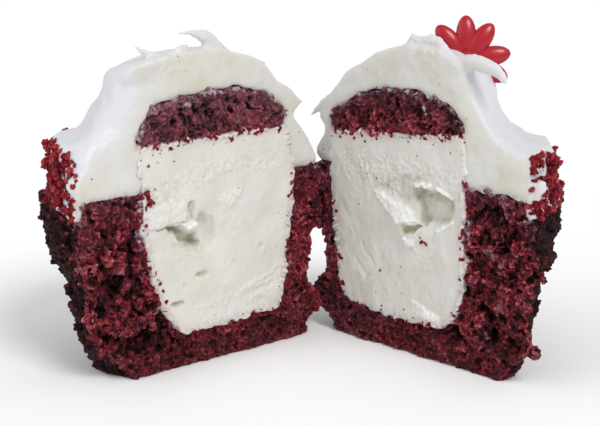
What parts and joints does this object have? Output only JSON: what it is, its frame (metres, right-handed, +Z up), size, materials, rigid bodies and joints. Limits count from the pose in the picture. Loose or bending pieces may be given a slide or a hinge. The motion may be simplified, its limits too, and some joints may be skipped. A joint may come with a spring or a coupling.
{
  "type": "filled cupcake cut in half",
  "caption": "Red velvet cupcake with a cream core and cream frosting, cut upright and opened like a book to show its layers, with a red candy flower on top.",
  "frame": {"origin": "under the middle of the whole cupcake's box, on the surface that it stands on", "axes": "+Z up, +X from the left half to the right half, -Y towards the open side where both cut faces show"},
  "size_m": [0.1214, 0.0622, 0.0807],
  "materials": {
    "cake": "crumbly red velvet sponge, dark red, matte",
    "filling": "firm vanilla ice cream with fine dark specks",
    "frosting": "smooth cream frosting, softly glossy, red crumbs on its rim",
    "candy": "glossy moulded red candy"
  },
  "bodies": {
    "root": {"cake_cup_left": "cake", "cake_cup_right": "cake", "cake_lid_left": "cake", "cake_lid_right": "cake", "filling_left": "filling", "filling_right": "filling", "frosting_left": "frosting", "frosting_right": "frosting", "flower": "candy"}
  },
  "joints": []
}
